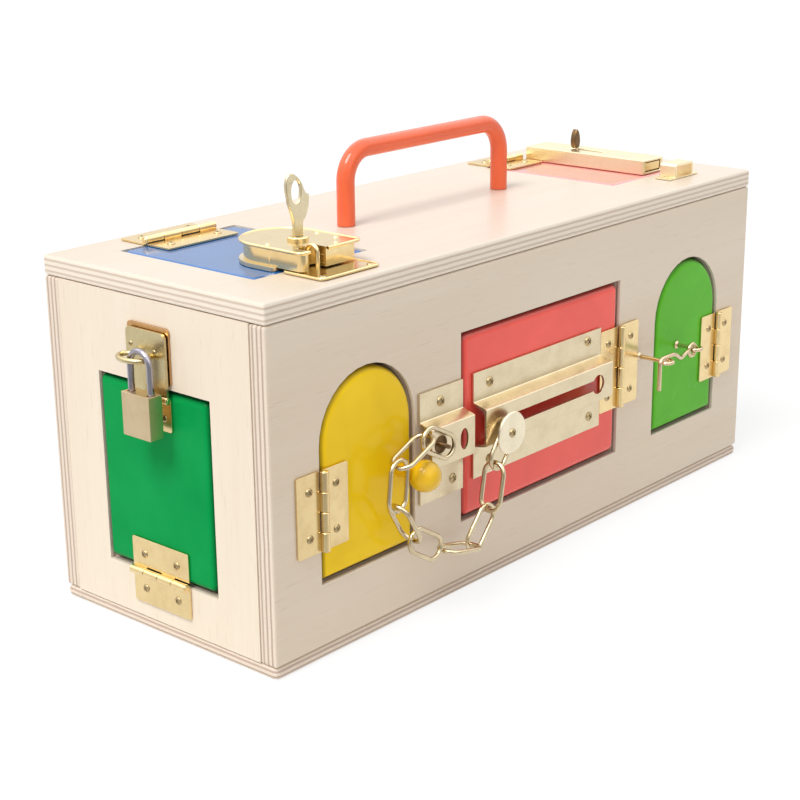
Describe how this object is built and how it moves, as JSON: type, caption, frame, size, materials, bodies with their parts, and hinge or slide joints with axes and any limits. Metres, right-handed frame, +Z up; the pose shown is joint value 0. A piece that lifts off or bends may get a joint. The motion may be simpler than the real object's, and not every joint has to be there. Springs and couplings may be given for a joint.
{
  "type": "wooden latch box",
  "caption": "Plywood toy box with hinged doors on the front, top and one end, each kept by a different latch to practise on, and a carrying handle on the lid.",
  "frame": {"origin": "centre of the box's footprint, on the surface that it stands on", "axes": "+Z up, +X along the length, away from the end with the padlock; the long front with the chain faces -Y"},
  "size_m": [0.4217, 0.1754, 0.2233],
  "materials": {
    "plywood": "clear satin plywood",
    "handle_paint": "gloss orange-red paint on a round wooden rod",
    "yellow_paint": "gloss yellow paint",
    "leaf_green_paint": "gloss leaf green paint",
    "red_paint": "gloss red paint",
    "green_paint": "gloss green paint",
    "blue_paint": "gloss blue paint",
    "brass_plate": "bright pressed brass",
    "solid_brass": "polished brass",
    "brass_wire": "bright bent wire",
    "key_nickel": "worn bright key brass",
    "champagne_nickel": "champagne nickel plating",
    "antique_bronze": "dark antique bronze",
    "chrome_steel": "bright chrome"
  },
  "bodies": {
    "box": {"base_panel": "plywood", "lid_panel": "plywood", "front_panel": "plywood", "back_panel": "plywood", "left_end_panel": "plywood", "right_end_panel": "plywood", "handle": "handle_paint", "yellow_hinge_wall_leaf": "brass_plate", "green_hinge_wall_leaf": "brass_plate", "red_hinge_wall_leaf": "brass_plate", "end_hinge_wall_leaf": "brass_plate", "blue_hinge_wall_leaf": "brass_plate", "pink_hinge_wall_leaf": "brass_plate", "hasp_staple_plate": "brass_plate", "chain_anchor_plate": "champagne_nickel", "chain_anchor_staple": "antique_bronze", "hook_wall_eye": "brass_wire", "lock_keeper": "solid_brass", "bolt_keeper": "brass_plate"},
    "yellow_door": {"yellow_door": "yellow_paint", "yellow_hinge_door_leaf": "brass_plate", "knob": "yellow_paint", "chain_link_anchor": "champagne_nickel", "chain_link_a": "champagne_nickel", "chain_link_b": "champagne_nickel", "chain_link_c": "champagne_nickel", "chain_link_d": "champagne_nickel"},
    "green_arch_door": {"green_arch_door": "leaf_green_paint", "green_hinge_door_leaf": "brass_plate", "hook_door_eye": "brass_wire"},
    "hook": {"hook": "brass_wire"},
    "red_door": {"red_door": "red_paint", "red_hinge_door_leaf": "brass_plate", "chain_track_plate": "champagne_nickel"},
    "chain_slider": {"chain_slider": "champagne_nickel", "chain_link_e": "champagne_nickel", "chain_link_f": "champagne_nickel", "chain_link_g": "champagne_nickel", "chain_link_h": "champagne_nickel"},
    "end_door": {"end_door": "green_paint", "end_hinge_door_leaf": "brass_plate", "hasp_door_leaf": "brass_plate"},
    "hasp_arm": {"hasp_arm": "brass_plate"},
    "padlock_shackle": {"padlock_shackle": "chrome_steel"},
    "padlock_body": {"padlock_body": "solid_brass"},
    "blue_door": {"blue_door": "blue_paint", "blue_hinge_door_leaf": "brass_plate", "lock_case": "solid_brass"},
    "lock_key": {"lock_key": "key_nickel", "lock_cylinder": "solid_brass"},
    "lock_bolt": {"lock_bolt": "solid_brass"},
    "pink_door": {"pink_door": "red_paint", "pink_hinge_door_leaf": "brass_plate", "bolt_housing": "brass_plate"},
    "slide_bolt": {"slide_bolt": "brass_plate", "bolt_thumb_piece": "antique_bronze"}
  },
  "joints": [
    {"name": "yellow_door_hinge", "type": "hinge", "parent": "box", "child": "yellow_door", "pos_m": [-0.1707, -0.0785, 0.0755], "axis": [0, 0, -1], "range_deg": [0, 100]},
    {"name": "green_door_hinge", "type": "hinge", "parent": "box", "child": "green_arch_door", "pos_m": [0.1712, -0.0785, 0.079], "axis": [0, 0, 1], "range_deg": [0, 100]},
    {"name": "hook_lift", "type": "hinge", "parent": "green_arch_door", "child": "hook", "pos_m": [0.125, -0.089, 0.088], "axis": [0, 1, 0], "range_deg": [0, 90]},
    {"name": "red_door_hinge", "type": "hinge", "parent": "box", "child": "red_door", "pos_m": [0.06845, -0.0785, 0.089], "axis": [0, 0, 1], "range_deg": [0, 90]},
    {"name": "chain_slide", "type": "slide", "parent": "red_door", "child": "chain_slider", "axis": [1, 0, 0], "range_m": [0, 0.0768]},
    {"name": "end_door_hinge", "type": "hinge", "parent": "box", "child": "end_door", "pos_m": [-0.2055, 0, 0.0318], "axis": [0, -1, 0], "range_deg": [0, 90]},
    {"name": "hasp_arm_hinge", "type": "hinge", "parent": "end_door", "child": "hasp_arm", "pos_m": [-0.2052, 0, 0.124], "axis": [0, -1, 0], "range_deg": [0, 12]},
    {"name": "padlock_swing", "type": "hinge", "parent": "hasp_arm", "child": "padlock_shackle", "pos_m": [-0.21377, -0.0047, 0.1438], "axis": [-1, 0, 0], "range_deg": [-40, 40]},
    {"name": "padlock_drop", "type": "slide", "parent": "padlock_shackle", "child": "padlock_body", "axis": [0, 0, -1], "range_m": [0, 0.006]},
    {"name": "blue_door_hinge", "type": "hinge", "parent": "box", "child": "blue_door", "pos_m": [-0.1365, 0.0512, 0.1825], "axis": [-1, 0, 0], "range_deg": [0, 95]},
    {"name": "key_turn", "type": "hinge", "parent": "blue_door", "child": "lock_key", "pos_m": [-0.139, -0.0345, 0.1932], "axis": [0, 0, 1], "range_deg": [0, 90]},
    {"name": "lock_bolt_slide", "type": "slide", "parent": "blue_door", "child": "lock_bolt", "axis": [-1, 0, 0], "range_m": [0, 0.0112]},
    {"name": "pink_door_hinge", "type": "hinge", "parent": "box", "child": "pink_door", "pos_m": [0.129, 0.0512, 0.1825], "axis": [-1, 0, 0], "range_deg": [0, 95]},
    {"name": "bolt_slide", "type": "slide", "parent": "pink_door", "child": "slide_bolt", "axis": [0, -1, 0], "range_m": [0, 0.018]}
  ],
  "couplings": [
    {"joint": "lock_bolt_slide", "follows": "key_turn", "m_per_rad": 0.00713}
  ]
}
